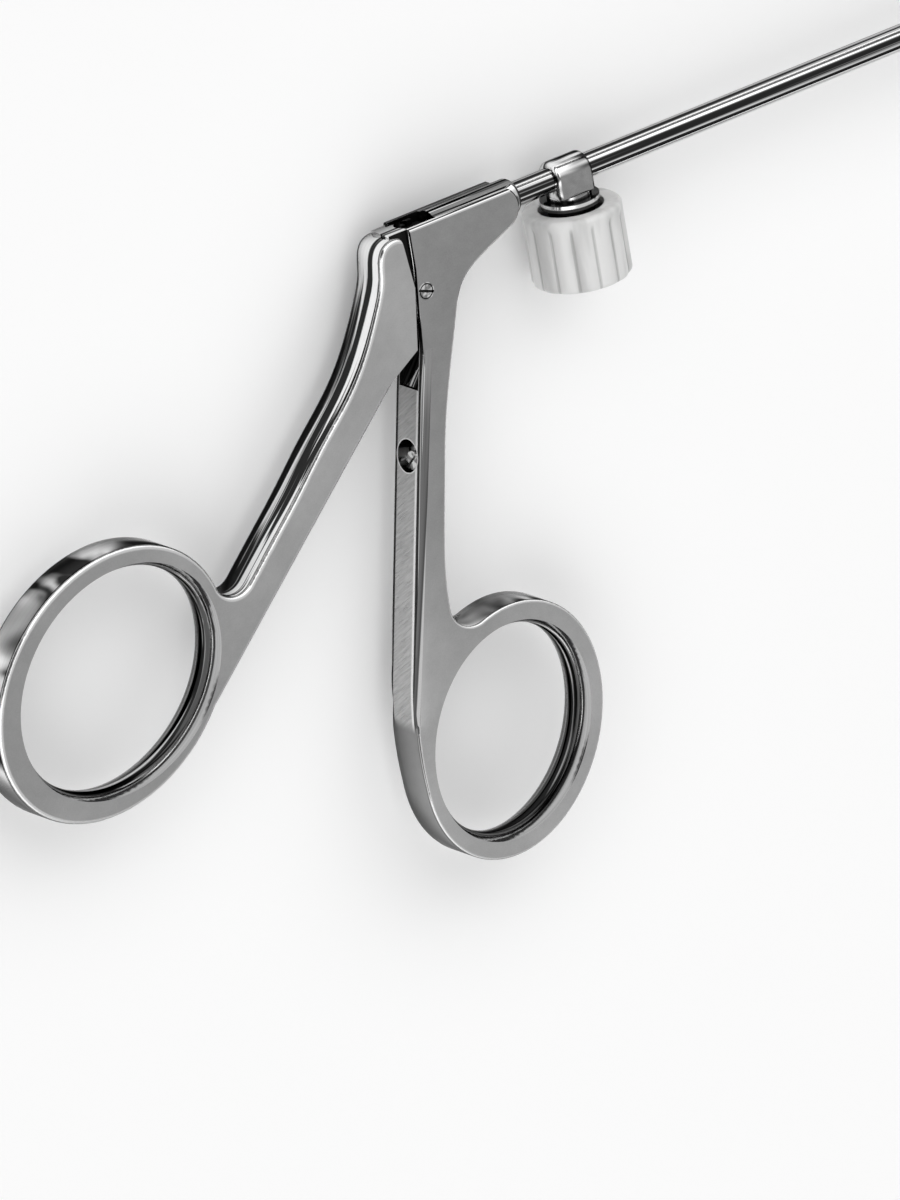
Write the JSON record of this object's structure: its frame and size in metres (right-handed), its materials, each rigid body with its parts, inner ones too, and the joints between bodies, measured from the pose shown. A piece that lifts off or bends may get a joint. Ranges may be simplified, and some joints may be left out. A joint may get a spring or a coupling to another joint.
{
  "type": "bronchoscopy forceps",
  "caption": "Ring-handled bronchoscopy forceps with a long thin shaft, spoon jaws opened by the thumb lever, and a capped flushing port beside the handle.",
  "frame": {"origin": "on the shaft's axis, in the plane of the handle's nose, where the shaft comes out", "axes": "+X along the shaft to the jaws, +Y away from the finger rings, in the plane of the handle, +Z out of the flat side that shows the pivot screw's slot"},
  "size_m": [0.435, 0.0851, 0.012],
  "materials": {
    "satin_steel": "satin brushed stainless steel with polished edges",
    "bright_steel": "bright drawn stainless steel",
    "white_plastic": "white moulded plastic",
    "soft_seal": "grey soft seal"
  },
  "bodies": {
    "handle": {"fixed_handle": "satin_steel", "pivot_screw": "bright_steel", "lock_screw": "bright_steel", "lock_ball": "bright_steel", "shaft_tube": "bright_steel", "port_block": "bright_steel", "port_collar": "bright_steel", "luer_connector": "bright_steel", "rod_seal": "soft_seal", "seal_sleeve": "bright_steel", "rod_guide": "bright_steel", "jaw_housing": "satin_steel", "jaw_pin": "bright_steel"},
    "lever": {"thumb_lever": "satin_steel"},
    "rod": {"pull_rod": "bright_steel", "rod_ball": "bright_steel", "rod_tip": "bright_steel", "drive_pin": "bright_steel"},
    "jaw": {"moving_jaw": "satin_steel"},
    "cap": {"port_cap": "white_plastic", "cap_seal": "soft_seal"}
  },
  "joints": [
    {"name": "lever_hinge", "type": "hinge", "parent": "handle", "child": "lever", "pos_m": [-0.0159, -0.0061, 0], "axis": [0, 0, 1], "range_deg": [0, 6]},
    {"name": "rod_slide", "type": "slide", "parent": "handle", "child": "rod", "axis": [-1, 0, 0], "range_m": [0, 0.00064]},
    {"name": "jaw_hinge", "type": "hinge", "parent": "handle", "child": "jaw", "pos_m": [0.3379, 0.0007, 0], "axis": [0, 0, -1], "range_deg": [0, 26]},
    {"name": "cap_slide", "type": "slide", "parent": "handle", "child": "cap", "axis": [0, -1, 0], "range_m": [0, 0.03]}
  ],
  "couplings": [
    {"joint": "rod_slide", "follows": "lever_hinge", "m_per_rad": 0.0061},
    {"joint": "jaw_hinge", "follows": "lever_hinge", "ratio": 4.3333}
  ]
}
